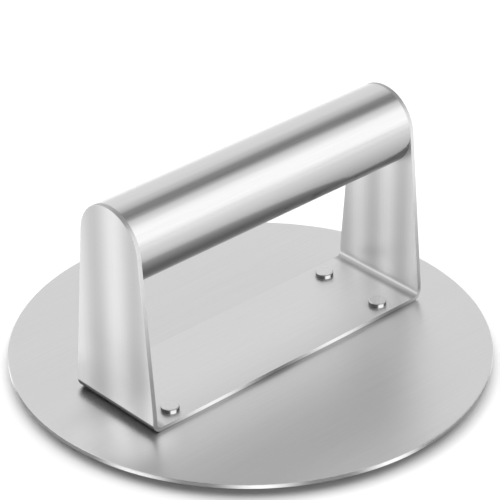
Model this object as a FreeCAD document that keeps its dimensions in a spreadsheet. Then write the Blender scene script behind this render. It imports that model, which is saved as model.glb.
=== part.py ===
import FreeCAD, Part
import math
import os
import sys

import Sketcher
from FreeCAD import Vector

# Bacon press: a round disc of stainless sheet, a folded sheet bracket riveted on top of it and a tube
# welded between the bracket's two legs as the grip.
# Frame: +Z is up, +X runs along the grip, the origin is the centre of the pressing face.

# Driving dimensions in millimetres: name, value, meaning.
DRIVING_DIMENSIONS = [
    ("disc_diameter", 140.0, "press disc, rim to rim"),
    ("sheet_thickness", 1.4, "disc and bracket are cut from the same sheet"),
    ("rim_rounding", 0.3, "broken edge round the disc's rim"),
    ("edge_rounding", 0.3, "broken edge round the outer face of the fold"),
    ("bracket_span", 104.4, "outer face of one leg to outer face of the other"),
    ("bracket_width", 32.8, "width of the strip that the bracket is folded from"),
    ("bracket_shift", 1.3, "the bracket stands this far towards +X of the disc's centre"),
    ("bend_radius", 1.6, "inner radius of both folds"),
    ("taper_start", 4.5, "where the legs begin to taper, above the strip's underside"),
    ("taper_blend", 15.0, "large radius that eases the strip's side into the taper"),
    ("grip_axis_height", 54.5, "tube axis above the pressing face"),
    ("leg_top_diameter", 24.0, "half-round end of each leg, flush with the grip"),
    ("grip_diameter", 24.0, "outside of the tube"),
    ("grip_wall", 1.2, "wall of the tube"),
    ("rivet_spacing_along", 80.9, "rivet to rivet along the strip"),
    ("rivet_spacing_across", 22.5, "rivet to rivet across the strip"),
    ("rivet_shank_diameter", 3.2, "also the holes in the disc and the bracket"),
    ("rivet_head_diameter", 5.3, "flat head on top of the strip"),
    ("rivet_head_height", 1.3, "head above the strip"),
    ("rivet_head_rounding", 0.3, "broken edge round the head"),
    ("countersink_depth", 0.9, "45 degree countersink in the pressing face"),
    ("tail_chamfer", 0.1, "fine groove left round each tail in the pressing face"),
]

# Sketcher's numbers for the origin, the axes and a curve's points.
ORIGIN = -1
HORIZONTAL_AXIS = -1
VERTICAL_AXIS = -2
START, END, CENTRE = 1, 2, 3

# Room left round a cutting outline so that it passes clear of what it cuts.
CUT_MARGIN = 3.0
# Two lengths closer than this are the same.
TOLERANCE = 1e-4

SIZE = {name: value for name, value, _ in DRIVING_DIMENSIONS}

doc = FreeCAD.newDocument("bacon_press")


def make_sheet():
    """Spreadsheet with one row for each driving dimension: meaning, value and alias."""
    sheet = doc.addObject("Spreadsheet::Sheet", "Sizes")
    for row, (name, value, meaning) in enumerate(DRIVING_DIMENSIONS, start=1):
        sheet.set(f"A{row}", meaning)
        sheet.set(f"B{row}", str(value))
        sheet.setAlias(f"B{row}", name)
    doc.recompute()
    return sheet


def make_body(name):
    body = doc.addObject("PartDesign::Body", name)
    body.Label = name
    return body


def place(body, x="0", y="0", z="0"):
    """Bind the body's position to the sheet."""
    body.setExpression("Placement.Base.x", x)
    body.setExpression("Placement.Base.y", y)
    body.setExpression("Placement.Base.z", z)


def make_sketch(body, plane, name):
    """Empty sketch flat on one of the body's own origin planes."""
    sketch = body.newObject("Sketcher::SketchObject", name)
    support = next(item for item in body.Origin.OriginFeatures if item.Role == plane)
    sketch.AttachmentSupport = [(support, "")]
    sketch.MapMode = "FlatFace"
    return sketch


def line(x1, y1, x2, y2):
    return Part.LineSegment(Vector(x1, y1, 0), Vector(x2, y2, 0))


def arc(x, y, radius, first_degrees, last_degrees):
    """Counter-clockwise arc about (x, y)."""
    circle = Part.Circle(Vector(x, y, 0), Vector(0, 0, 1), radius)
    return Part.ArcOfCircle(circle, math.radians(first_degrees), math.radians(last_degrees))


def runs_on(geometry, backwards, next_geometry, next_backwards):
    """True where one curve passes into the next with no corner."""
    leaving = geometry.tangent(geometry.FirstParameter if backwards else geometry.LastParameter)[0]
    joining = next_geometry.tangent(
        next_geometry.LastParameter if next_backwards else next_geometry.FirstParameter
    )[0]
    return leaving.cross(joining).Length < TOLERANCE


def draw_loop(sketch, curves):
    """Closed outline. Each curve is (geometry, is run backwards)."""
    numbers = sketch.addGeometry([geometry for geometry, _ in curves], False)
    for number, (geometry, backwards) in zip(numbers, curves):
        following = (number + 1) % len(curves)
        next_geometry, next_backwards = curves[following]
        smooth = runs_on(geometry, backwards, next_geometry, next_backwards)
        relate(
            sketch, "Tangent" if smooth else "Coincident",
            number, START if backwards else END,
            following, END if next_backwards else START,
        )
        if isinstance(geometry, Part.LineSegment):
            level_line(sketch, number, geometry)


def level_line(sketch, number, geometry):
    """Keep a line that is drawn level or upright that way."""
    run = geometry.EndPoint - geometry.StartPoint
    if abs(run.y) < TOLERANCE:
        relate(sketch, "Horizontal", number)
    elif abs(run.x) < TOLERANCE:
        relate(sketch, "Vertical", number)


def relate(sketch, kind, *references):
    """Constraint with no size, such as Symmetric or Equal."""
    sketch.addConstraint(Sketcher.Constraint(kind, *references))


def measure(sketch, name, kind, *references, formula):
    """Named size, driven by the sheet."""
    length = sketch_length(sketch, kind, references)
    number = sketch.addConstraint(Sketcher.Constraint(kind, *references, length))
    sketch.renameConstraint(number, name)
    sketch.setExpression(f"Constraints.{name}", formula)


def sketch_length(sketch, kind, references):
    """The length that a size constraint has as drawn, before the sheet drives it."""
    if kind == "Radius":
        return sketch.Geometry[references[0]].Radius
    if kind == "Distance":
        return sketch.Geometry[references[0]].length()
    first = sketch.getPoint(*references[:2])
    last = sketch.getPoint(*references[2:])
    return last.x - first.x if kind == "DistanceX" else last.y - first.y


def extrude(body, sketch, name, formula):
    """Pad to both sides of the sketch."""
    pad = body.newObject("PartDesign::Pad", name)
    pad.Profile = sketch
    pad.SideType = "Symmetric"
    pad.setExpression("Length", formula)
    doc.recompute()
    return pad


def cut_through(body, sketch, name):
    """Pocket right through to both sides of the sketch, checked to have removed something."""
    before = body.Shape.Volume
    pocket = body.newObject("PartDesign::Pocket", name)
    pocket.Profile = sketch
    pocket.SideType = "Symmetric"
    pocket.Type = "ThroughAll"
    doc.recompute()
    if body.Shape.Volume > before - TOLERANCE:
        sys.exit(f"{name} cuts nothing")
    return pocket


def break_edges(body, base, kind, name, chosen, size_property, formula):
    """Fillet or Chamfer on the edges of base that the function chosen picks."""
    edges = [f"Edge{i}" for i, edge in enumerate(base.Shape.Edges, start=1) if chosen(edge)]
    feature = body.newObject(f"PartDesign::{kind}", name)
    feature.Base = (base, edges)
    feature.setExpression(size_property, formula)
    doc.recompute()
    return feature


def is_ring(edge, diameter):
    """True for a full circle of this diameter."""
    return isinstance(edge.Curve, Part.Circle) and abs(edge.Curve.Radius - diameter / 2) < TOLERANCE


def drill_rivet_holes(body, centre_x="0"):
    """Four through holes on the rivets' rectangle. centre_x is its centre in the body's frame."""
    sketch = make_sketch(body, "XY_Plane", "rivet_hole_sketch")
    radius = SIZE["rivet_shank_diameter"] / 2
    half_along = SIZE["rivet_spacing_along"] / 2
    half_across = SIZE["rivet_spacing_across"] / 2
    corners = [(-1, -1), (1, -1), (-1, 1), (1, 1)]
    for number, (side_x, side_y) in enumerate(corners):
        centre = Vector(side_x * half_along, side_y * half_across, 0)
        sketch.addGeometry(Part.Circle(centre, Vector(0, 0, 1), radius), False)
        measure(
            sketch, f"along{number}", "DistanceX", ORIGIN, START, number, CENTRE,
            formula=f"{centre_x} + {side_x} * Sizes.rivet_spacing_along / 2",
        )
        measure(
            sketch, f"across{number}", "DistanceY", ORIGIN, START, number, CENTRE,
            formula=f"{side_y} * Sizes.rivet_spacing_across / 2",
        )
        if number > 0:
            relate(sketch, "Equal", 0, number)
    measure(sketch, "hole_radius", "Radius", 0, formula="Sizes.rivet_shank_diameter / 2")
    return cut_through(body, sketch, "rivet_holes")


def make_press_plate():
    """Round disc with a broken rim and four holes, countersunk from the pressing face."""
    body = make_body("press_plate")
    sketch = make_sketch(body, "XY_Plane", "disc_sketch")
    disc = Part.Circle(Vector(0, 0, 0), Vector(0, 0, 1), SIZE["disc_diameter"] / 2)
    sketch.addGeometry(disc, False)
    relate(sketch, "Coincident", 0, CENTRE, ORIGIN, START)
    measure(sketch, "disc_radius", "Radius", 0, formula="Sizes.disc_diameter / 2")

    disc_pad = body.newObject("PartDesign::Pad", "disc_pad")
    disc_pad.Profile = sketch
    disc_pad.setExpression("Length", "Sizes.sheet_thickness")
    doc.recompute()

    break_edges(
        body, disc_pad, "Fillet", "rim_fillet",
        lambda edge: is_ring(edge, SIZE["disc_diameter"]),
        "Radius", "Sizes.rim_rounding",
    )
    holes = drill_rivet_holes(body)
    break_edges(
        body, holes, "Chamfer", "countersinks",
        lambda edge: is_ring(edge, SIZE["rivet_shank_diameter"]) and edge.CenterOfMass.z < TOLERANCE,
        "Size", "Sizes.countersink_depth",
    )
    return body


def sketch_fold_profile(body):
    """Side view of the folded strip: flat base, two quarter-round folds and two upright legs."""
    thickness = SIZE["sheet_thickness"]
    inner = SIZE["bend_radius"]
    outer = inner + thickness
    face = SIZE["bracket_span"] / 2
    # The legs start a little too long and are rounded off afterwards.
    top = SIZE["grip_axis_height"] - thickness + SIZE["leg_top_diameter"] / 2 + CUT_MARGIN
    bend = face - outer
    sketch = make_sketch(body, "XZ_Plane", "fold_profile")
    draw_loop(sketch, [
        (line(-face, top, -face, outer), False),
        (arc(-bend, outer, outer, 180, 270), False),
        (line(-bend, 0, bend, 0), False),
        (arc(bend, outer, outer, 270, 360), False),
        (line(face, outer, face, top), False),
        (line(face, top, face - thickness, top), False),
        (line(face - thickness, top, face - thickness, outer), False),
        (arc(bend, outer, inner, 270, 360), True),
        (line(bend, thickness, -bend, thickness), False),
        (arc(-bend, outer, inner, 180, 270), True),
        (line(thickness - face, outer, thickness - face, top), False),
        (line(thickness - face, top, -face, top), False),
    ])
    left_leg, left_bend, base, right_bend, right_leg, right_end = range(6)
    inner_right_bend, base_top, inner_left_bend, left_end = 7, 8, 9, 11
    relate(sketch, "Symmetric", left_leg, START, right_leg, END, VERTICAL_AXIS)
    relate(sketch, "PointOnObject", base, START, HORIZONTAL_AXIS)
    relate(sketch, "Equal", left_bend, right_bend)
    relate(sketch, "Equal", inner_left_bend, inner_right_bend)
    relate(sketch, "Equal", left_end, right_end)
    measure(
        sketch, "span", "DistanceX", left_leg, START, right_leg, END,
        formula="Sizes.bracket_span",
    )
    measure(
        sketch, "leg_length", "DistanceY", base, START, right_leg, END,
        formula=f"Sizes.grip_axis_height - Sizes.sheet_thickness"
        f" + Sizes.leg_top_diameter / 2 + {CUT_MARGIN}",
    )
    measure(
        sketch, "base_thickness", "DistanceY", base, START, base_top, END,
        formula="Sizes.sheet_thickness",
    )
    measure(sketch, "leg_thickness", "Distance", right_end, formula="Sizes.sheet_thickness")
    measure(
        sketch, "outer_bend", "Radius", left_bend,
        formula="Sizes.bend_radius + Sizes.sheet_thickness",
    )
    measure(sketch, "inner_bend", "Radius", inner_left_bend, formula="Sizes.bend_radius")
    return sketch


def taper_angle(blend_x, blend_z, blend_radius, top_z, top_radius):
    """Lean, in radians, of the line that touches both the blend at the fold and the round top."""
    apart = math.hypot(blend_x, top_z - blend_z)
    slope = math.atan2(top_z - blend_z, -blend_x)
    return slope - math.acos((blend_radius - top_radius) / apart)


def sketch_leg_waste(body):
    """What is cut off both legs: all that lies outside a taper from the folds to a half-round top."""
    half_width = SIZE["bracket_width"] / 2
    wide = half_width + CUT_MARGIN
    shoulder = SIZE["taper_start"]
    blend = SIZE["taper_blend"]
    blend_x = half_width - blend
    axis = SIZE["grip_axis_height"] - SIZE["sheet_thickness"]
    radius = SIZE["leg_top_diameter"] / 2
    lid = axis + radius + 2 * CUT_MARGIN
    lean = taper_angle(blend_x, shoulder, blend, axis, radius)
    low_x = blend_x + blend * math.cos(lean)
    low_z = shoulder + blend * math.sin(lean)
    high_x = radius * math.cos(lean)
    high_z = axis + radius * math.sin(lean)
    degrees = math.degrees(lean)
    sketch = make_sketch(body, "YZ_Plane", "leg_waste_sketch")
    draw_loop(sketch, [
        (line(-wide, shoulder, -half_width, shoulder), False),
        (arc(-blend_x, shoulder, blend, 180 - degrees, 180), True),
        (line(-low_x, low_z, -high_x, high_z), False),
        (arc(0, axis, radius, degrees, 180 - degrees), True),
        (line(high_x, high_z, low_x, low_z), False),
        (arc(blend_x, shoulder, blend, 0, degrees), True),
        (line(half_width, shoulder, wide, shoulder), False),
        (line(wide, shoulder, wide, lid), False),
        (line(wide, lid, -wide, lid), False),
        (line(-wide, lid, -wide, shoulder), False),
    ])
    left_ledge, left_blend, _, round_top, _, right_blend, right_ledge, _, lid_line = range(9)
    relate(sketch, "Symmetric", left_ledge, END, right_ledge, START, VERTICAL_AXIS)
    relate(sketch, "PointOnObject", round_top, CENTRE, VERTICAL_AXIS)
    relate(sketch, "Equal", left_ledge, right_ledge)
    relate(sketch, "Equal", left_blend, right_blend)
    for blend_arc, at in ((left_blend, END), (right_blend, START)):
        relate(sketch, "Horizontal", blend_arc, CENTRE, blend_arc, at)
    measure(sketch, "top_radius", "Radius", round_top, formula="Sizes.leg_top_diameter / 2")
    measure(sketch, "blend_radius", "Radius", left_blend, formula="Sizes.taper_blend")
    measure(
        sketch, "axis_height", "DistanceY", ORIGIN, START, round_top, CENTRE,
        formula="Sizes.grip_axis_height - Sizes.sheet_thickness",
    )
    measure(
        sketch, "width_at_folds", "DistanceX", left_ledge, END, right_ledge, START,
        formula="Sizes.bracket_width",
    )
    measure(
        sketch, "shoulder_height", "DistanceY", ORIGIN, START, left_ledge, END,
        formula="Sizes.taper_start",
    )
    measure(sketch, "side_margin", "Distance", left_ledge, formula=f"{CUT_MARGIN}")
    measure(
        sketch, "lid_height", "DistanceY", round_top, CENTRE, lid_line, START,
        formula=f"Sizes.leg_top_diameter / 2 + 2 * {CUT_MARGIN}",
    )
    return sketch


def is_outer_outline(edge):
    """True for edges round the fold's outer face. The inner ones stay square for the tube's weld."""
    box = edge.BoundBox
    leaves_fold_line = max(box.XLength, box.ZLength) > TOLERANCE
    outer_x = SIZE["bracket_span"] / 2 - TOLERANCE
    is_outer = all(corner.Z < TOLERANCE or abs(corner.X) > outer_x for corner in edge.Vertexes)
    return leaves_fold_line and is_outer


def make_handle_bracket():
    """One strip, folded up at both ends, tapered and rounded to carry the grip, and drilled."""
    body = make_body("handle_bracket")
    extrude(body, sketch_fold_profile(body), "folded_strip", "Sizes.bracket_width")
    legs = cut_through(body, sketch_leg_waste(body), "leg_outline")
    break_edges(
        body, legs, "Fillet", "outline_fillet", is_outer_outline, "Radius", "Sizes.edge_rounding"
    )
    drill_rivet_holes(body, centre_x="-Sizes.bracket_shift")
    place(body, x="Sizes.bracket_shift", z="Sizes.sheet_thickness")
    return body


def make_handle_tube():
    """Grip: a plain tube cut to fit between the legs' inner faces."""
    body = make_body("handle_tube")
    sketch = make_sketch(body, "YZ_Plane", "tube_sketch")
    outer = SIZE["grip_diameter"] / 2
    for number, radius in enumerate((outer, outer - SIZE["grip_wall"])):
        sketch.addGeometry(Part.Circle(Vector(0, 0, 0), Vector(0, 0, 1), radius), False)
        relate(sketch, "Coincident", number, CENTRE, ORIGIN, START)
    measure(sketch, "outer_radius", "Radius", 0, formula="Sizes.grip_diameter / 2")
    measure(
        sketch, "inner_radius", "Radius", 1,
        formula="Sizes.grip_diameter / 2 - Sizes.grip_wall",
    )
    extrude(body, sketch, "tube_pad", "Sizes.bracket_span - 2 * Sizes.sheet_thickness")
    place(body, x="Sizes.bracket_shift", z="Sizes.grip_axis_height")
    return body


def sketch_rivet_profile(body):
    """Half section of a rivet: flat head, shank and a tail that fills the countersink."""
    shank = SIZE["rivet_shank_diameter"] / 2
    head = SIZE["rivet_head_diameter"] / 2
    sink = SIZE["countersink_depth"]
    groove = SIZE["tail_chamfer"]
    rounding = SIZE["rivet_head_rounding"]
    seat = 2 * SIZE["sheet_thickness"]
    top = seat + SIZE["rivet_head_height"]
    tail = shank + sink
    sketch = make_sketch(body, "XZ_Plane", "rivet_profile")
    draw_loop(sketch, [
        (line(0, 0, tail - 2 * groove, 0), False),
        (line(tail - 2 * groove, 0, tail - groove, groove), False),
        (line(tail - groove, groove, shank, sink), False),
        (line(shank, sink, shank, seat), False),
        (line(shank, seat, head, seat), False),
        (line(head, seat, head, top - rounding), False),
        (arc(head - rounding, top - rounding, rounding, 0, 90), False),
        (line(head - rounding, top, 0, top), False),
        (line(0, top, 0, 0), False),
    ])
    tail_face, groove_wall, tail_cone, shank_wall, head_seat, head_wall, head_round, head_top = range(8)
    relate(sketch, "Coincident", tail_face, START, ORIGIN, START)
    for name, kind, end, formula in (
        ("tail_radius", "DistanceX", (tail_face, END),
         "Sizes.rivet_shank_diameter / 2 + Sizes.countersink_depth - 2 * Sizes.tail_chamfer"),
        ("groove_radius", "DistanceX", (groove_wall, END),
         "Sizes.rivet_shank_diameter / 2 + Sizes.countersink_depth - Sizes.tail_chamfer"),
        ("groove_height", "DistanceY", (groove_wall, END), "Sizes.tail_chamfer"),
        ("shank_radius", "DistanceX", (shank_wall, END), "Sizes.rivet_shank_diameter / 2"),
        ("sink_height", "DistanceY", (tail_cone, END), "Sizes.countersink_depth"),
        ("seat_height", "DistanceY", (head_seat, END), "2 * Sizes.sheet_thickness"),
        ("head_radius", "DistanceX", (head_wall, END), "Sizes.rivet_head_diameter / 2"),
        ("top_height", "DistanceY", (head_top, END),
         "2 * Sizes.sheet_thickness + Sizes.rivet_head_height"),
    ):
        measure(sketch, name, kind, ORIGIN, START, *end, formula=formula)
    measure(sketch, "head_rounding", "Radius", head_round, formula="Sizes.rivet_head_rounding")
    return sketch


def make_rivet(name, side_x, side_y):
    """Rivet through bracket and disc, its tail set into the countersink flush with the pressing face."""
    body = make_body(name)
    sketch = sketch_rivet_profile(body)
    turned = body.newObject("PartDesign::Revolution", "turned_rivet")
    turned.Profile = sketch
    turned.ReferenceAxis = (sketch, ["V_Axis"])
    turned.Angle = 360
    place(
        body,
        x=f"{side_x} * Sizes.rivet_spacing_along / 2",
        y=f"{side_y} * Sizes.rivet_spacing_across / 2",
    )
    doc.recompute()
    return body


def check_document(bodies):
    """Stop if any object failed or any sub-part has no sound solid."""
    for item in doc.Objects:
        if "Invalid" in item.State or "Error" in item.State:
            sys.exit(f"{item.Label} failed: {item.State}")
    for body in bodies:
        if body.Shape.isNull() or not body.Shape.isValid() or len(body.Shape.Solids) != 1:
            sys.exit(f"{body.Label} has no sound solid")


make_sheet()
press = [make_press_plate(), make_handle_bracket(), make_handle_tube()]
for side_y, row in ((-1, "front"), (1, "rear")):
    for side_x, end in ((-1, "left"), (1, "right")):
        press.append(make_rivet(f"rivet_{row}_{end}", side_x, side_y))
doc.recompute()
check_document(press)

os.makedirs("parts", exist_ok=True)
for body in press:
    body.Shape.exportStep(f"parts/{body.Label}.step")
    box = body.Shape.optimalBoundingBox()
    print(
        f"{body.Label}: volume {body.Shape.Volume:.1f} mm3,"
        f" x {box.XMin:.2f} to {box.XMax:.2f}, y {box.YMin:.2f} to {box.YMax:.2f},"
        f" z {box.ZMin:.2f} to {box.ZMax:.2f}"
    )
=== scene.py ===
# %% [markdown]
# # A stainless bacon press
#
# The real object is four kinds of metal part: a flat round disc that presses the food, one strip of sheet
# that is folded up at both ends, a tube between the strip's two legs as the grip, and four rivets. Their
# shapes and sizes come from the CAD model, so this lesson is about what Blender is good at: making plain
# bare steel look like brushed stainless steel. Steel has hardly any colour of its own. What the eye sees is
# the studio in it, smeared by thousands of fine scratches, so the studio and the scratches both matter.

import math

import bpy
from mathutils import Matrix, Vector


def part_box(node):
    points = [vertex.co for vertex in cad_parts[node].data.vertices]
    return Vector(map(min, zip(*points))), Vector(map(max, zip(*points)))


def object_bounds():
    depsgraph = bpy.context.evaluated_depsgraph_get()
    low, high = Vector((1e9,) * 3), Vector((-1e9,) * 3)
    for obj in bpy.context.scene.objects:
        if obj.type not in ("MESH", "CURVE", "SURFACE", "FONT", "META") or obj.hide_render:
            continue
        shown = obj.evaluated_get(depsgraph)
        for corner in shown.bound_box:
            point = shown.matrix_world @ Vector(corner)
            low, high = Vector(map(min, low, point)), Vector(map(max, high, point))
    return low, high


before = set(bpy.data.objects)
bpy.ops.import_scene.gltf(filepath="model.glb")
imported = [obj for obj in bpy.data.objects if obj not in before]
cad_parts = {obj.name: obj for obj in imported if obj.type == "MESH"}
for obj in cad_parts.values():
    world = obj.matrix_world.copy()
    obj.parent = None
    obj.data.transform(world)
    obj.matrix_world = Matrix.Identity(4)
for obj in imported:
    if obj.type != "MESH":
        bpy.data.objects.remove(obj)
CAD_LOW, CAD_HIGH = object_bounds()
MM = 0.001
scene = bpy.context.scene
print("CAD box in mm:", [round(value / MM, 1) for value in (*CAD_LOW, *CAD_HIGH)])

# %% [markdown]
# ## Helpers
#
# Paint and metal colours are usually written as sRGB hex codes, but the render works in linear light, so one
# function turns a code into linear numbers. Another adds a shader node, sets its options and joins up its
# inputs. An input is given as a value, as another node, which then gives its first output, or as one named
# output of a node. With it a material reads as a list of steps.

# %% Two helpers
def linear(code):
    """Linear RGBA of an sRGB hex colour such as '#D4D4D6'."""
    channels = [int(code[start:start + 2], 16) / 255 for start in (1, 3, 5)]
    curve = [c / 12.92 if c <= 0.04045 else ((c + 0.055) / 1.055) ** 2.4 for c in channels]
    return (*curve, 1.0)


def add(tree, kind, inputs=None, stops=None, **settings):
    """Add one node with its settings and links. stops are a colour ramp's (position, grey level)."""
    node = tree.nodes.new(kind)
    for name, value in settings.items():
        setattr(node, name, value)
    for socket, source in (inputs or {}).items():
        if isinstance(source, bpy.types.Node):
            source = next(output for output in source.outputs if output.enabled)
        if isinstance(source, bpy.types.NodeSocket):
            tree.links.new(source, node.inputs[socket])
        else:
            node.inputs[socket].default_value = source
    if stops:
        ramp = node.color_ramp
        ramp.interpolation = "EASE"
        while len(ramp.elements) < len(stops):
            ramp.elements.new(0.5)
        for element, (position, grey) in zip(ramp.elements, stops):
            element.position = position
            element.color = (grey, grey, grey, 1.0)
    return node


print("mid grey #808080 in linear light:", round(linear("#808080")[0], 3))

# %% [markdown]
# ## Camera
#
# A small object is usually pictured from well back with a long lens, which keeps its upright edges
# nearly parallel. The camera looks down at the front left of the press. It is placed by an aim point, two
# angles and a distance, because these are what a person would choose, and the matrix follows from
# them. A slight roll stands for a tripod that isn't quite level.

# %% Camera
CAMERA_AZIMUTH = math.radians(-42.10)
CAMERA_ELEVATION = math.radians(30.70)
CAMERA_ROLL = math.radians(-0.64)
CAMERA_DISTANCE = 777.0 * MM
CAMERA_AIM = Vector((10.3, 11.1, 23.8)) * MM
SENSOR_WIDTH_MM = 36.0
FOCAL_LENGTH_MM = 193.0


def make_camera():
    data = bpy.data.cameras.new("camera")
    data.sensor_width = SENSOR_WIDTH_MM
    data.lens = FOCAL_LENGTH_MM
    data.clip_start = CAMERA_DISTANCE / 10
    data.clip_end = CAMERA_DISTANCE * 20
    camera = bpy.data.objects.new("camera", data)
    scene.collection.objects.link(camera)
    back = Vector((
        math.sin(CAMERA_AZIMUTH) * math.cos(CAMERA_ELEVATION),
        -math.cos(CAMERA_AZIMUTH) * math.cos(CAMERA_ELEVATION),
        math.sin(CAMERA_ELEVATION),
    ))
    level = Vector((math.cos(CAMERA_AZIMUTH), math.sin(CAMERA_AZIMUTH), 0.0))
    upright = back.cross(level)
    right = level * math.cos(CAMERA_ROLL) + upright * math.sin(CAMERA_ROLL)
    up = upright * math.cos(CAMERA_ROLL) - level * math.sin(CAMERA_ROLL)
    turn = Matrix((right, up, back)).transposed().to_4x4()
    camera.matrix_world = Matrix.Translation(CAMERA_AIM + back * CAMERA_DISTANCE) @ turn
    scene.camera = camera
    return camera


camera = make_camera()
print("camera at mm:", [round(value / MM) for value in camera.location])

# %% [markdown]
# ## Studio
#
# Polished metal shows whatever stands round it, so a studio for steel is built as a reflection first. Here a
# wide white softbox stands in front of the press, a dark flag hangs right above it and a white wall closes
# the back, with a weak second softbox on its left. The dark flag is what gives a steel tube its dark stripe,
# and without it the tube would look like white plastic. The studio could be made of lamps and cards, but a
# sky that changes with the angle round the grip's axis does the same with soft edges and no noise, and it
# stays put as the camera moves.

# %% Studio sky
# Angle up from the front horizon, in degrees, and the brightness there.
STUDIO_STOPS = [
    (0, 1.00),
    (12, 1.12),
    (45, 1.12),
    (68, 0.74),
    (84, 0.22),
    (98, 0.26),
    (116, 0.80),
    (134, 1.02),
    (180, 1.02),
]
# A colour ramp holds levels up to 1, so each brightness is divided by this and multiplied back later.
BRIGHTEST = 2.0
# Direction towards the weak softbox, and how near to it, as a cosine, its gain starts and is full.
BACK_SOFTBOX_FROM = (-0.576, 0.638, 0.511)
BACK_SOFTBOX_EDGE = 0.6
BACK_SOFTBOX_CORE = 0.95
BACK_SOFTBOX_GAIN = 1.16


def make_studio():
    world = bpy.data.worlds.new("studio")
    scene.world = world
    world.use_nodes = True
    tree = world.node_tree
    tree.nodes.clear()
    direction = add(tree, "ShaderNodeTexCoord")
    axes = add(tree, "ShaderNodeSeparateXYZ", {"Vector": direction.outputs["Generated"]})
    forward = add(tree, "ShaderNodeMath", {0: axes.outputs["Y"], 1: -1.0}, operation="MULTIPLY")
    height = add(tree, "ShaderNodeMath", {0: axes.outputs["Z"], 1: 0.0}, operation="MAXIMUM")
    angle = add(tree, "ShaderNodeMath", {0: height, 1: forward}, operation="ARCTAN2")
    turn = add(tree, "ShaderNodeMath", {0: angle, 1: math.pi}, operation="DIVIDE")
    stops = [(degrees / 180, brightness / BRIGHTEST) for degrees, brightness in STUDIO_STOPS]
    ramp = add(tree, "ShaderNodeValToRGB", {"Fac": turn}, stops)
    nearness = add(tree, "ShaderNodeVectorMath", {
        0: direction.outputs["Generated"], 1: BACK_SOFTBOX_FROM,
    }, operation="DOT_PRODUCT")
    strength = add(tree, "ShaderNodeMapRange", {
        "Value": nearness, "From Min": BACK_SOFTBOX_EDGE, "From Max": BACK_SOFTBOX_CORE,
        "To Min": BRIGHTEST, "To Max": BRIGHTEST * BACK_SOFTBOX_GAIN,
    }, interpolation_type="SMOOTHSTEP")
    light = add(tree, "ShaderNodeBackground", {"Color": ramp, "Strength": strength})
    add(tree, "ShaderNodeOutputWorld", {"Surface": light})


make_studio()
scene.view_settings.view_transform = "Standard"
print("studio sky with", len(STUDIO_STOPS), "stops")

# %% [markdown]
# ## Floor
#
# A product studio gets a pure white ground from a white sheet under a clear acrylic one. The object
# stands on the clear sheet, and its shadow falls 3 mm lower on the white one, where it can be seen along the
# near rim. The clear sheet would only show as faint reflections, so it is left out, and the white one is a
# plain matt plane. A texture would only draw the eye from the press.

# %% White ground
FLOOR_SIZE = 6.0
CLEAR_SHEET = 3.0 * MM
GROUND_GREY = linear("#BCBCBC")


def make_ground():
    half = FLOOR_SIZE / 2
    mesh = bpy.data.meshes.new("white_ground")
    corners = [(-half, -half), (half, -half), (half, half), (-half, half)]
    mesh.from_pydata([(x, y, CAD_LOW.z - CLEAR_SHEET) for x, y in corners], [], [range(4)])
    ground = bpy.data.objects.new("white_ground", mesh)
    scene.collection.objects.link(ground)
    material = bpy.data.materials.new("matt_white_acrylic")
    material.use_nodes = True
    tree = material.node_tree
    tree.nodes.clear()
    surface = add(tree, "ShaderNodeBsdfDiffuse", {"Color": GROUND_GREY})
    add(tree, "ShaderNodeOutputMaterial", {"Surface": surface})
    mesh.materials.append(material)


make_ground()
print("ground", FLOOR_SIZE, "m wide and", round(CLEAR_SHEET / MM, 1), "mm below the press")

# %% [markdown]
# ## Lamp on the ground
#
# The sheet is a light grey, and a broad lamp above and behind burns it out to white. Its wide angle makes
# the shadow soft. The lamp is hidden from reflections, because a studio would flag it off the steel.

# %% Ground lamp
# Direction towards the lamp.
GROUND_LAMP_FROM = Vector((0.14, 0.18, 1.0))
GROUND_LAMP_STRENGTH = 5.2
GROUND_LAMP_WIDTH = math.radians(100)


def make_ground_lamp():
    data = bpy.data.lights.new("ground_lamp", "SUN")
    data.energy = GROUND_LAMP_STRENGTH
    data.angle = GROUND_LAMP_WIDTH
    lamp = bpy.data.objects.new("ground_lamp", data)
    lamp.rotation_euler = GROUND_LAMP_FROM.to_track_quat("Z", "Y").to_euler()
    lamp.visible_glossy = False
    scene.collection.objects.link(lamp)


make_ground_lamp()
print("ground lamp spans", round(math.degrees(GROUND_LAMP_WIDTH)), "degrees")

# %% [markdown]
# ## How brushed steel is made, and how to draw it
#
# Stainless sheet leaves the mill with a brushed finish: an abrasive belt of about 180 grit runs over it in
# one direction and leaves scratches 0.05 to 0.1 mm wide and a few centimetres long. Three things follow.
#
# 1. Light is smeared across the scratches and hardly at all along them.
# 2. Single scratches catch the light as fine lines.
# 3. The belt doesn't press evenly, so there are broad soft streaks that are a little darker or lighter.
#
# The lines and the broad streaks are both a noise stretched along the grain, with a width and a length in
# millimetres. So the first thing needed is a point's place in millimetres.

# %% Place and streaks
REAL_SCRATCH_WIDTH = 0.07
# Nearly all of a noise's values lie between these two.
NOISE_LOW = 0.3
NOISE_HIGH = 0.7


def place_in_mm(tree):
    """A point's place in mm. A CAD part's own coordinates are the whole object's, in metres."""
    coordinates = add(tree, "ShaderNodeTexCoord")
    scaling = {0: coordinates.outputs["Object"], "Scale": 1 / MM}
    return add(tree, "ShaderNodeVectorMath", scaling, operation="SCALE")


def streaks(tree, place, width, length):
    """Noise from 0 to 1 in streaks of this width and length in mm, which run along place's X."""
    scale = (1 / length, 1 / width, 1 / width)
    stretched = add(tree, "ShaderNodeMapping", {"Vector": place, "Scale": scale})
    return add(tree, "ShaderNodeTexNoise", {
        "Vector": stretched, "Scale": 1.0, "Detail": 2.0, "Roughness": 0.6,
    })


print("a real scratch is about", REAL_SCRATCH_WIDTH, "mm wide")

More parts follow.
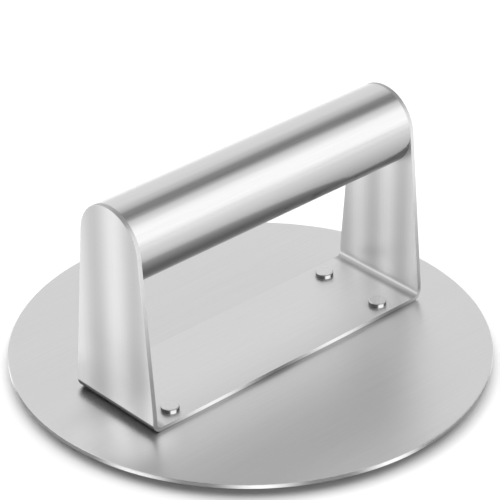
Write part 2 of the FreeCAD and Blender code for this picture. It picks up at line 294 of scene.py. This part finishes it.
# %% [markdown]
# ## The brushed steel shader
#
# Stainless steel is a metal, so it is fully metallic, the IOR keeps its default and the base colour is what
# it reflects: a light grey with no tint. Brushed sheet has a roughness of about 0.3 to 0.4. Anisotropy
# smears the reflection across the grain, with a tangent that points across it, and this is what gives the
# eye the soft silky sheen. The scratches are a shallow bump and a slight change of colour and roughness.
# The real ones are finer than the render can show, so they are drawn 0.35 mm wide.

# %% Brushed steel
LINE_WIDTH = 0.35
LINE_LENGTH = 30.0
LINE_DEPTH = 0.02 * MM
LINE_SHADE = linear("#F9F9F9")
WHITE = linear("#FFFFFF")
STAINLESS = linear("#E1E1E1")
ANISOTROPY = 0.6
ROUGHNESS_SPREAD = 0.03


def brushed_steel(tree, place, across, colour, roughness, line_bump, normal):
    """Join up brushed stainless from a place on the sheet, a tangent across the grain and a colour."""
    lines = streaks(tree, place, LINE_WIDTH, LINE_LENGTH)
    contrast = add(tree, "ShaderNodeMapRange", {
        "Value": lines, "From Min": NOISE_LOW, "From Max": NOISE_HIGH,
    })
    shade = add(tree, "ShaderNodeMix", {
        "Factor": contrast, "A": LINE_SHADE, "B": WHITE,
    }, data_type="RGBA")
    lined = add(tree, "ShaderNodeMix", {
        "Factor": 1.0, "A": colour, "B": shade,
    }, data_type="RGBA", blend_type="MULTIPLY")
    uneven = add(tree, "ShaderNodeMapRange", {
        "Value": lines, "From Min": NOISE_LOW, "From Max": NOISE_HIGH,
        "To Min": roughness - ROUGHNESS_SPREAD, "To Max": roughness + ROUGHNESS_SPREAD,
    })
    relief = add(tree, "ShaderNodeBump", {
        "Height": lines, "Strength": line_bump, "Distance": LINE_DEPTH, "Normal": normal,
    })
    steel = add(tree, "ShaderNodeBsdfPrincipled", {
        "Base Color": lined,
        "Metallic": 1.0,
        "Roughness": uneven,
        "Anisotropic": ANISOTROPY,
        "Tangent": across,
        "Normal": relief,
    })
    add(tree, "ShaderNodeOutputMaterial", {"Surface": steel})


print("one drawn line stands for", round(LINE_WIDTH / REAL_SCRATCH_WIDTH), "scratches side by side")

# %% [markdown]
# ## Which way a face looks
#
# One material covers a whole part, flat faces and cut edges alike, and the two are finished differently.
# The face's normal tells them apart without cutting up the mesh. It also gives the tangent: across a grain
# that runs along X is at right angles to both the grain and the normal.
#
# Cut edges are dressed by hand on a soft wheel, which leaves short bevels that look up at the softbox and
# flash. The bevels are too small to model, so the shading normal is tipped up there instead.

# %% Normals and new materials
def across_x_grain(tree):
    """Tangent across a grain along X. The grain is a hair off X, so that end faces have a tangent too."""
    normal = add(tree, "ShaderNodeNewGeometry").outputs["Normal"]
    grain = (1.0, 0.02, 0.01)
    return add(tree, "ShaderNodeVectorMath", {0: normal, 1: grain}, operation="CROSS_PRODUCT")


def tipped_normal(tree, flash, tilt):
    """The face's normal, tipped up by tilt where flash is 1 and left alone where it is 0."""
    normal = add(tree, "ShaderNodeNewGeometry").outputs["Normal"]
    lift = add(tree, "ShaderNodeMath", {0: flash, 1: tilt}, operation="MULTIPLY")
    upward = add(tree, "ShaderNodeCombineXYZ", {"Z": lift})
    tipped = add(tree, "ShaderNodeVectorMath", {0: normal, 1: upward}, operation="ADD")
    return add(tree, "ShaderNodeVectorMath", {0: tipped}, operation="NORMALIZE")


def new_material(name):
    material = bpy.data.materials.new(name)
    material.use_nodes = True
    material.node_tree.nodes.clear()
    return material, material.node_tree


def finish(node, material):
    """Give a CAD part its material."""
    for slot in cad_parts[node].material_slots:
        slot.material = material
    print(node, "is", material.name)


# %% [markdown]
# ## Painted light beside the legs
#
# The disc's top face has a painted light line about 2 mm wide beside each leg, with a painted lighter patch
# outside the left leg. They are painted as a change in the steel's colour, on the top face only, and the
# lines are placed from the bracket's box, so they move with it.

# %% Painted light beside the legs
BRACKET_LOW, BRACKET_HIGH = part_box("handle_bracket")
BRACKET_MIDDLE_X = (BRACKET_LOW.x + BRACKET_HIGH.x) / 2 / MM
BRACKET_HALF_LENGTH = (BRACKET_HIGH.x - BRACKET_LOW.x) / 2 / MM
BRACKET_HALF_WIDTH = BRACKET_HIGH.y / MM
# The line is full this many mm out from the leg, and gone this many.
LIGHT_LINE_FULL = 1.4
LIGHT_LINE_GONE = 2.2
# Its ends are gone this many mm in from the leg's sides, and full this many.
LINE_END_GONE = 1.0
LINE_END_FULL = 5.0
# The patch's middle and radius in mm.
LIGHT_PATCH_PLACE = (-58.0, -12.0, 0.0)
LIGHT_PATCH_RADIUS = 18.0
# Painted light: the lighter colour of the patch on the disc's top face.
STAINLESS_PAINTED_LIGHT = linear("#F9F9F9")


def painted_light_line(tree, place):
    """1 on the painted light line beside each leg, 0 elsewhere."""
    axes = add(tree, "ShaderNodeSeparateXYZ", {"Vector": place})
    out = add(tree, "ShaderNodeMath", {0: axes.outputs["X"], 1: BRACKET_MIDDLE_X}, operation="SUBTRACT")
    away = add(tree, "ShaderNodeMath", {0: out}, operation="ABSOLUTE")
    beside = add(tree, "ShaderNodeMapRange", {
        "Value": away,
        "From Min": BRACKET_HALF_LENGTH + LIGHT_LINE_GONE,
        "From Max": BRACKET_HALF_LENGTH + LIGHT_LINE_FULL,
    }, interpolation_type="SMOOTHSTEP")
    sideways = add(tree, "ShaderNodeMath", {0: axes.outputs["Y"]}, operation="ABSOLUTE")
    within = add(tree, "ShaderNodeMapRange", {
        "Value": sideways,
        "From Min": BRACKET_HALF_WIDTH - LINE_END_GONE,
        "From Max": BRACKET_HALF_WIDTH - LINE_END_FULL,
    }, interpolation_type="SMOOTHSTEP")
    return add(tree, "ShaderNodeMath", {0: beside, 1: within}, operation="MULTIPLY")


def painted_light_patch(tree, place):
    """1 in the middle of the painted lighter patch, 0 outside it."""
    distance = add(tree, "ShaderNodeVectorMath", {0: place, 1: LIGHT_PATCH_PLACE}, operation="DISTANCE")
    return add(tree, "ShaderNodeMapRange", {
        "Value": distance, "From Min": LIGHT_PATCH_RADIUS, "From Max": LIGHT_PATCH_RADIUS / 3,
    }, interpolation_type="SMOOTHSTEP")


# The patch is painted light.
print("buffed patch", round(2 * LIGHT_PATCH_RADIUS), "mm across")

# %% [markdown]
# ## The disc's rim
#
# The rim's wall has painted highlights in a few places, with painted shade between them, and its normal is
# tipped up at the highlights. The highlights are placed by their angle round the disc, and a colour ramp
# over that angle holds them all.

# %% Rim touches
# Degrees round the disc from +X.
# Painted highlights on the rim's wall.
RIM_HIGHLIGHTS = (-159, -130, -99, -50, -12, 31, 66, 103, 149)
RIM_HIGHLIGHT_WIDTH = 12
RIM_TILT = 0.36


def rim_highlight(tree):
    """1 in the middle of each painted highlight on the rim, 0 between them."""
    axes = add(tree, "ShaderNodeSeparateXYZ", {"Vector": place_in_mm(tree)})
    angle = add(tree, "ShaderNodeMath", {0: axes.outputs["Y"], 1: axes.outputs["X"]}, operation="ARCTAN2")
    turn = add(tree, "ShaderNodeMath", {0: angle, 1: 0.5 / math.pi, 2: 0.5}, operation="MULTIPLY_ADD")
    stops = []
    for lit_rim in RIM_HIGHLIGHTS:
        for offset, level in ((-RIM_HIGHLIGHT_WIDTH, 0.0), (0, 1.0), (RIM_HIGHLIGHT_WIDTH, 0.0)):
            stops.append(((lit_rim + offset) / 360 + 0.5, level))
    return add(tree, "ShaderNodeValToRGB", {"Fac": turn}, stops)


# Each touch is a painted highlight on the rim.
print(len(RIM_HIGHLIGHTS), "touches round the rim")

# %% [markdown]
# ## Press disc
#
# The disc is blanked from brushed sheet, so its grain runs straight across it and not round it. The broad
# streaks are 5 mm wide and run the full length of the disc. They are kept faint, because on a disc this
# size a strong streak would look like wood grain.

# %% Disc
DISC_STREAK = linear("#DDDDDD")
# Painted shade on the rim's wall between its painted highlights.
DARK_RIM_WALL = linear("#8A8A8A")
DISC_ROUGHNESS = 0.36
LINE_BUMP = 0.3


def make_disc_steel():
    material, tree = new_material("belt_brushed_stainless_disc")
    place = place_in_mm(tree)
    bands = streaks(tree, place, width=5.0, length=160.0)
    sheet = add(tree, "ShaderNodeMix", {
        "Factor": bands, "A": STAINLESS, "B": DISC_STREAK,
    }, data_type="RGBA")
    # Painted light on the top face: a lighter patch and a light line beside each leg.
    lit_patch = add(tree, "ShaderNodeMix", {
        "Factor": painted_light_patch(tree, place), "A": sheet, "B": STAINLESS_PAINTED_LIGHT,
    }, data_type="RGBA")
    painted_light = add(tree, "ShaderNodeMix", {
        "Factor": painted_light_line(tree, place), "A": lit_patch, "B": WHITE,
    }, data_type="RGBA")
    normal = add(tree, "ShaderNodeNewGeometry").outputs["Normal"]
    facing = add(tree, "ShaderNodeSeparateXYZ", {"Vector": normal})
    is_top = add(tree, "ShaderNodeMath", {0: facing.outputs["Z"], 1: 0.0}, operation="GREATER_THAN")
    flat = add(tree, "ShaderNodeMix", {"Factor": is_top, "A": sheet, "B": painted_light}, data_type="RGBA")
    # The normal's Z is 1 or -1 on the two flat faces and 0 on the rim's wall.
    upright = add(tree, "ShaderNodeMath", {0: facing.outputs["Z"]}, operation="ABSOLUTE")
    wall = add(tree, "ShaderNodeMapRange", {
        "Value": upright, "From Min": 0.9, "From Max": 0.5,
    }, interpolation_type="SMOOTHSTEP")
    # Painted highlights and painted shade on the rim's wall.
    lit_rim = rim_highlight(tree)
    wall_colour = add(tree, "ShaderNodeMix", {
        "Factor": lit_rim, "A": DARK_RIM_WALL, "B": WHITE,
    }, data_type="RGBA")
    colour = add(tree, "ShaderNodeMix", {
        "Factor": wall, "A": flat, "B": wall_colour,
    }, data_type="RGBA")
    flash = add(tree, "ShaderNodeMath", {0: lit_rim, 1: wall}, operation="MULTIPLY")
    tipped = tipped_normal(tree, flash, RIM_TILT)
    brushed_steel(tree, place, across_x_grain(tree), colour, DISC_ROUGHNESS, LINE_BUMP, tipped)
    return material


finish("press_plate", make_disc_steel())

# %% [markdown]
# ## Folded bracket: where a point was on the flat strip
#
# The bracket was one flat strip with its grain along its length. Folding turned the grain with the sheet,
# so it lies along X on the base and upright on the legs. A streak has to follow it round the fold, so the
# pattern's first coordinate is the distance along the unrolled strip: how far out plus how far up.

# %% Unrolled strip
# A fold rises by its inner radius and the sheet's thickness together.
FOLD_RISE = 3.0
FOLD_BLEND = 1.0
FOLD_TOP = BRACKET_LOW.z / MM + FOLD_RISE


def unrolled_strip(tree):
    """Named values that say where a point is on the strip and which way its face looks."""
    axes = add(tree, "ShaderNodeSeparateXYZ", {"Vector": place_in_mm(tree)})
    x, y, z = axes.outputs
    out = add(tree, "ShaderNodeMath", {0: x, 1: BRACKET_MIDDLE_X}, operation="SUBTRACT")
    side = add(tree, "ShaderNodeMath", {0: out}, operation="SIGN")
    away = add(tree, "ShaderNodeMath", {0: out}, operation="ABSOLUTE")
    run = add(tree, "ShaderNodeMath", {0: away, 1: z}, operation="ADD")
    along = add(tree, "ShaderNodeMath", {0: run, 1: side}, operation="MULTIPLY")
    on_leg = add(tree, "ShaderNodeMapRange", {
        "Value": z, "From Min": FOLD_TOP - FOLD_BLEND, "From Max": FOLD_TOP + FOLD_BLEND,
    }, interpolation_type="SMOOTHSTEP")
    normal = add(tree, "ShaderNodeNewGeometry").outputs["Normal"]
    return {
        "x": x,
        "y": y,
        "height": z,
        "side": side,
        "away": away,
        "place": add(tree, "ShaderNodeCombineXYZ", {"X": along, "Y": y}),
        "on_leg": on_leg,
        "facing": add(tree, "ShaderNodeSeparateXYZ", {"Vector": normal}),
    }


print("the legs start", round(FOLD_TOP, 1), "mm up")

# %% [markdown]
# ## Folded bracket: bands on the legs
#
# The legs' colour has upright bands of lighter and darker grey, a painted reflection, as a cosine across the
# leg. The inner faces are painted lighter than the outer ones, and the outer faces are painted lighter still
# near the fold.

# %% Leg bands
# Painted reflection bands, dark and light. The inner faces are painted lighter than the outer ones, and the
# outer faces' foot lighter still.
OUTER_BANDS = (linear("#BEBEBE"), linear("#DEDEDE"))
INNER_BANDS = (linear("#DFDFDF"), linear("#FFFFFF"))
LIT_FOOT_BANDS = (linear("#E0E0E0"), linear("#FFFFFF"))
# Mm across the leg from a band to the next, and where one band is lightest.
LEFT_BAND_PERIOD = 16.5
LEFT_BAND_PEAK = -2.0
RIGHT_BAND_PERIOD = 11.9
RIGHT_BAND_PEAK = -3.0
# Heights in mm below which the outer faces' painted lighter foot is full, and above which it is gone.
LIT_FOOT_FULL_BELOW = 4.0
LIT_FOOT_GONE_ABOVE = 24.0


def wave(tree, along, period, peak):
    """A wave along a coordinate in mm: 1 at the peak, 0 half a period away."""
    step = math.tau / period
    turn = add(tree, "ShaderNodeMath", {0: along, 1: step, 2: -step * peak}, operation="MULTIPLY_ADD")
    cosine = add(tree, "ShaderNodeMath", {0: turn}, operation="COSINE")
    return add(tree, "ShaderNodeMath", {0: cosine, 1: 0.5, 2: 0.5}, operation="MULTIPLY_ADD")


def leg_colour(tree, strip):
    """Banded colour of the legs' broad faces: painted reflection bands, painted lighter on the inner faces
    and at the outer faces' foot.
    """
    is_right = add(tree, "ShaderNodeMath", {0: strip["side"], 1: 0.0}, operation="GREATER_THAN")
    bands = add(tree, "ShaderNodeMix", {
        "Factor": is_right,
        "A": wave(tree, strip["y"], LEFT_BAND_PERIOD, LEFT_BAND_PEAK),
        "B": wave(tree, strip["y"], RIGHT_BAND_PERIOD, RIGHT_BAND_PEAK),
    })
    outer, inner, lit_foot = [
        add(tree, "ShaderNodeMix", {"Factor": bands, "A": dark, "B": light}, data_type="RGBA")
        for dark, light in (OUTER_BANDS, INNER_BANDS, LIT_FOOT_BANDS)
    ]
    above_foot = add(tree, "ShaderNodeMapRange", {
        "Value": strip["height"], "From Min": LIT_FOOT_FULL_BELOW, "From Max": LIT_FOOT_GONE_ABOVE,
    }, interpolation_type="SMOOTHSTEP")
    outside = add(tree, "ShaderNodeMix", {"Factor": above_foot, "A": lit_foot, "B": outer}, data_type="RGBA")
    outward = add(tree, "ShaderNodeMath", {
        0: strip["facing"].outputs["X"], 1: strip["side"],
    }, operation="MULTIPLY")
    is_outside = add(tree, "ShaderNodeMath", {0: outward, 1: 0.0}, operation="GREATER_THAN")
    return add(tree, "ShaderNodeMix", {
        "Factor": is_outside, "A": inner, "B": outside,
    }, data_type="RGBA")


print("bands every", LEFT_BAND_PERIOD, "and", RIGHT_BAND_PERIOD, "mm")

# %% [markdown]
# ## Folded bracket: folds and cut edges
#
# Each inner fold has a painted highlight line, with a painted shade line beside it on the base, and the
# outside of each fold has painted shade. The strip's long cut edges have painted highlights along the base
# in long waves of bright and dark, and up the legs a grey that gets lighter with height.

# %% Folds and edges
# Painted highlight in each inner fold, a painted shade line beside it, and painted shade round each outer
# fold.
INNER_FOLD_HIGHLIGHT = linear("#F8F8F8")
FOLD_SHADE_LINE = linear("#BEBEBE")
# The painted shade line starts this many mm in from the bracket's end and is darkest this many mm in.
SHADE_LINE_START = 5.0
SHADE_LINE_FULL = 3.0
OUTER_FOLD_SHADE = linear("#585858")
BASE_STEEL = linear("#EAEAEA")
# The base's cut edge is painted dark between its painted highlights.
DARK_BASE_EDGE = linear("#989898")
LEG_EDGE_LOW = linear("#AAAAAA")
LEG_EDGE_HIGH = linear("#DDDDDD")
# Heights in mm between which the legs' edges get lighter.
EDGE_LIGHTENS_FROM = 15.0
EDGE_LIGHTENS_TO = 50.0
# Mm along the base from a flash on its edge to the next, and where one flash is.
EDGE_WAVE_PERIOD = 47.5
EDGE_WAVE_PEAK = -29.0


def with_folds(tree, strip, colour):
    """Colour with a painted highlight line and a painted shade line at each inner fold and painted shade
    round the outer one.
    """
    facing = strip["facing"]
    sideways = add(tree, "ShaderNodeMath", {0: facing.outputs["X"]}, operation="ABSOLUTE")
    # 0 on every flat face, 0.5 halfway round an inner fold and below 0 round an outer one.
    slant = add(tree, "ShaderNodeMath", {0: sideways, 1: facing.outputs["Z"]}, operation="MULTIPLY")
    inner = add(tree, "ShaderNodeMapRange", {
        "Value": slant, "From Min": 0.2, "From Max": 0.5,
    }, interpolation_type="SMOOTHSTEP")
    outer = add(tree, "ShaderNodeMapRange", {
        "Value": facing.outputs["Z"], "From Min": -0.02, "From Max": -0.16,
    }, interpolation_type="SMOOTHSTEP")
    fold_lit = add(tree, "ShaderNodeMix", {
        "Factor": inner, "A": colour, "B": INNER_FOLD_HIGHLIGHT,
    }, data_type="RGBA")
    near = add(tree, "ShaderNodeMapRange", {
        "Value": strip["away"],
        "From Min": BRACKET_HALF_LENGTH - SHADE_LINE_START, "From Max": BRACKET_HALF_LENGTH - SHADE_LINE_FULL,
    }, interpolation_type="SMOOTHSTEP")
    upward = add(tree, "ShaderNodeMapRange", {
        "Value": facing.outputs["Z"], "From Min": 0.3, "From Max": 0.7,
    }, interpolation_type="SMOOTHSTEP")
    shade_line = add(tree, "ShaderNodeMath", {0: near, 1: upward}, operation="MULTIPLY")
    shade_lined = add(tree, "ShaderNodeMix", {
        "Factor": shade_line, "A": fold_lit, "B": FOLD_SHADE_LINE,
    }, data_type="RGBA")
    return add(tree, "ShaderNodeMix", {
        "Factor": outer, "A": shade_lined, "B": OUTER_FOLD_SHADE,
    }, data_type="RGBA")


def edge_colour(tree, strip, edge_highlight):
    """Colour of the long cut edges, with painted highlights along the base's edge where the last argument is
    1.
    """
    rise = add(tree, "ShaderNodeMapRange", {
        "Value": strip["height"], "From Min": EDGE_LIGHTENS_FROM, "From Max": EDGE_LIGHTENS_TO,
    }, interpolation_type="SMOOTHSTEP")
    on_base = add(tree, "ShaderNodeMix", {
        "Factor": edge_highlight, "A": DARK_BASE_EDGE, "B": WHITE,
    }, data_type="RGBA")
    on_legs = add(tree, "ShaderNodeMix", {
        "Factor": rise, "A": LEG_EDGE_LOW, "B": LEG_EDGE_HIGH,
    }, data_type="RGBA")
    return add(tree, "ShaderNodeMix", {
        "Factor": strip["on_leg"], "A": on_base, "B": on_legs,
    }, data_type="RGBA")


print("base edge flashes every", EDGE_WAVE_PERIOD, "mm")

# %% [markdown]
# ## Folded bracket: the whole finish
#
# Now the parts of the finish are laid over each other: sheet, legs with their painted bands, painted light
# and shade at the folds, and last the cut edges with their painted highlights. The strip is a little rougher
# than the disc, because it was buffed less.

# %% Bracket
STRIP_ROUGHNESS = 0.42
EDGE_TILT = 0.6


def make_strip_steel():
    material, tree = new_material("belt_brushed_stainless_strip")
    strip = unrolled_strip(tree)
    faces = add(tree, "ShaderNodeMix", {
        "Factor": strip["on_leg"], "A": BASE_STEEL, "B": leg_colour(tree, strip),
    }, data_type="RGBA")
    folded = with_folds(tree, strip, faces)
    # The long cut edges are the only faces that look along Y.
    side_face = add(tree, "ShaderNodeMath", {0: strip["facing"].outputs["Y"]}, operation="ABSOLUTE")
    is_edge = add(tree, "ShaderNodeMapRange", {
        "Value": side_face, "From Min": 0.5, "From Max": 0.9,
    }, interpolation_type="SMOOTHSTEP")
    # Painted highlights in waves along the base's cut edge, where the normal is tipped up too.
    edge_highlight = wave(tree, strip["x"], EDGE_WAVE_PERIOD, EDGE_WAVE_PEAK)
    colour = add(tree, "ShaderNodeMix", {
        "Factor": is_edge, "A": folded, "B": edge_colour(tree, strip, edge_highlight),
    }, data_type="RGBA")
    off_leg = add(tree, "ShaderNodeMath", {0: 1.0, 1: strip["on_leg"]}, operation="SUBTRACT")
    base_edge = add(tree, "ShaderNodeMath", {0: is_edge, 1: off_leg}, operation="MULTIPLY")
    flash = add(tree, "ShaderNodeMath", {0: edge_highlight, 1: base_edge}, operation="MULTIPLY")
    across = add(tree, "ShaderNodeCombineXYZ", {"X": 0.02, "Y": 1.0, "Z": 0.02})
    tipped = tipped_normal(tree, flash, EDGE_TILT)
    brushed_steel(tree, strip["place"], across, colour, STRIP_ROUGHNESS, LINE_BUMP, tipped)
    return material


finish("handle_bracket", make_strip_steel())

# %% [markdown]
# ## Grip
#
# The tube is drawn and then polished along its length with a finer belt, about 320 grit. Its roughness is
# 0.17, half that of the sheet, so it shows the studio as clear stripes, and its scratches are shallower.
# The upper front has a painted highlight and the underside painted shade, both in the colour.

# %% Tube
# Painted shade on the underside and a painted highlight on the upper front.
TUBE_UNDERSIDE_SHADE = linear("#707070")
TUBE_POLISHED = linear("#D3D3D3")
TUBE_PAINTED_HIGHLIGHT = linear("#F0F0F0")
TUBE_ROUGHNESS = 0.17
TUBE_LINE_BUMP = 0.05
# Where each effect starts and is full. Z is -1 on a face that looks down and 1 up, and Y is -1 to the front.
SHADE_BELOW_Z = (-0.7, 0.55)
HIGHLIGHT_Y = (-0.2, -0.62)
HIGHLIGHT_Z = (0.2, 0.48)


def make_tube_steel():
    material, tree = new_material("satin_polished_stainless_tube")
    normal = add(tree, "ShaderNodeNewGeometry").outputs["Normal"]
    facing = add(tree, "ShaderNodeSeparateXYZ", {"Vector": normal})
    unshaded = add(tree, "ShaderNodeMapRange", {
        "Value": facing.outputs["Z"], "From Min": SHADE_BELOW_Z[0], "From Max": SHADE_BELOW_Z[1],
    }, interpolation_type="SMOOTHSTEP")
    frontal = add(tree, "ShaderNodeMapRange", {
        "Value": facing.outputs["Y"], "From Min": HIGHLIGHT_Y[0], "From Max": HIGHLIGHT_Y[1],
    }, interpolation_type="SMOOTHSTEP")
    upper = add(tree, "ShaderNodeMapRange", {
        "Value": facing.outputs["Z"], "From Min": HIGHLIGHT_Z[0], "From Max": HIGHLIGHT_Z[1],
    }, interpolation_type="SMOOTHSTEP")
    front_highlight = add(tree, "ShaderNodeMath", {0: frontal, 1: upper}, operation="MULTIPLY")
    shaded_below = add(tree, "ShaderNodeMix", {
        "Factor": unshaded, "A": TUBE_UNDERSIDE_SHADE, "B": TUBE_POLISHED,
    }, data_type="RGBA")
    colour = add(tree, "ShaderNodeMix", {
        "Factor": front_highlight, "A": shaded_below, "B": TUBE_PAINTED_HIGHLIGHT,
    }, data_type="RGBA")
    place = place_in_mm(tree)
    brushed_steel(tree, place, across_x_grain(tree), colour, TUBE_ROUGHNESS, TUBE_LINE_BUMP, normal)
    return material


finish("handle_tube", make_tube_steel())

# %% [markdown]
# ## Rivets
#
# Rivets are cold-headed from wire and tumbled with ceramic chips, which leaves a bright, slightly dimpled
# skin with no grain, so there is no anisotropy. A round noise 0.8 mm across gives the dimples. The low wall
# of the head has painted shade, with one painted highlight spot, where the normal is also tipped up.

# %% Rivet wall
# Painted shade on the head's wall, with a painted highlight spot.
WALL_PAINTED_SHADE = linear("#686868")
WALL_PAINTED_HIGHLIGHT = linear("#ECECEC")
WALL_HIGHLIGHT_ANGLE = math.radians(-109)
# How near to the spot's middle, as a cosine, it starts and is full.
SPOT_EDGE = 0.9
SPOT_CORE = 0.98
SPOT_TILT = 0.5


def wall_highlight(tree, normal):
    """1 in the middle of the painted highlight on a head's wall, 0 round the rest of it."""
    spot_side = (math.cos(WALL_HIGHLIGHT_ANGLE), math.sin(WALL_HIGHLIGHT_ANGLE), 0.0)
    towards = add(tree, "ShaderNodeVectorMath", {0: normal, 1: spot_side}, operation="DOT_PRODUCT")
    return add(tree, "ShaderNodeMapRange", {
        "Value": towards, "From Min": SPOT_EDGE, "From Max": SPOT_CORE,
    }, interpolation_type="SMOOTHSTEP")


print("bright spot at", round(math.degrees(WALL_HIGHLIGHT_ANGLE)), "degrees")

# %% [markdown]
# ## Rivet heads
#
# The head's top is polished by the tumbling to a roughness of about 0.3. The four heads share one material,
# and because the noise is placed by the object's own coordinates, no two of them have the same dimples.

# %% Rivets
DIMPLE_SIZE = 0.8
DIMPLE_DEPTH = 0.03 * MM
DIMPLE_BUMP = 0.3
HEAD_ROUGHNESS = (0.27, 0.35)
HEAD_LIGHT = linear("#DCDCDC")
HEAD_DARK = linear("#CCCCCC")


def make_rivet_steel():
    material, tree = new_material("tumbled_stainless_rivet")
    dimples = add(tree, "ShaderNodeTexNoise", {
        "Vector": place_in_mm(tree), "Scale": 1 / DIMPLE_SIZE, "Detail": 2.0,
    })
    normal = add(tree, "ShaderNodeNewGeometry").outputs["Normal"]
    facing = add(tree, "ShaderNodeSeparateXYZ", {"Vector": normal})
    # The normal's Z is 1 on a head's top and 0 on its wall.
    upright = add(tree, "ShaderNodeMath", {0: facing.outputs["Z"]}, operation="ABSOLUTE")
    wall = add(tree, "ShaderNodeMapRange", {
        "Value": upright, "From Min": 0.8, "From Max": 0.3,
    }, interpolation_type="SMOOTHSTEP")
    spot = wall_highlight(tree, normal)
    top = add(tree, "ShaderNodeMix", {
        "Factor": dimples, "A": HEAD_LIGHT, "B": HEAD_DARK,
    }, data_type="RGBA")
    side = add(tree, "ShaderNodeMix", {
        "Factor": spot, "A": WALL_PAINTED_SHADE, "B": WALL_PAINTED_HIGHLIGHT,
    }, data_type="RGBA")
    colour = add(tree, "ShaderNodeMix", {"Factor": wall, "A": top, "B": side}, data_type="RGBA")
    flash = add(tree, "ShaderNodeMath", {0: spot, 1: wall}, operation="MULTIPLY")
    relief = add(tree, "ShaderNodeBump", {
        "Height": dimples, "Strength": DIMPLE_BUMP, "Distance": DIMPLE_DEPTH,
        "Normal": tipped_normal(tree, flash, SPOT_TILT),
    })
    uneven = add(tree, "ShaderNodeMapRange", {
        "Value": dimples, "From Min": NOISE_LOW, "From Max": NOISE_HIGH,
        "To Min": HEAD_ROUGHNESS[0], "To Max": HEAD_ROUGHNESS[1],
    })
    steel = add(tree, "ShaderNodeBsdfPrincipled", {
        "Base Color": colour,
        "Metallic": 1.0,
        "Roughness": uneven,
        "Normal": relief,
    })
    add(tree, "ShaderNodeOutputMaterial", {"Surface": steel})
    return material


rivet_steel = make_rivet_steel()
for node in sorted(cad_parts):
    if node.startswith("rivet_"):
        finish(node, rivet_steel)
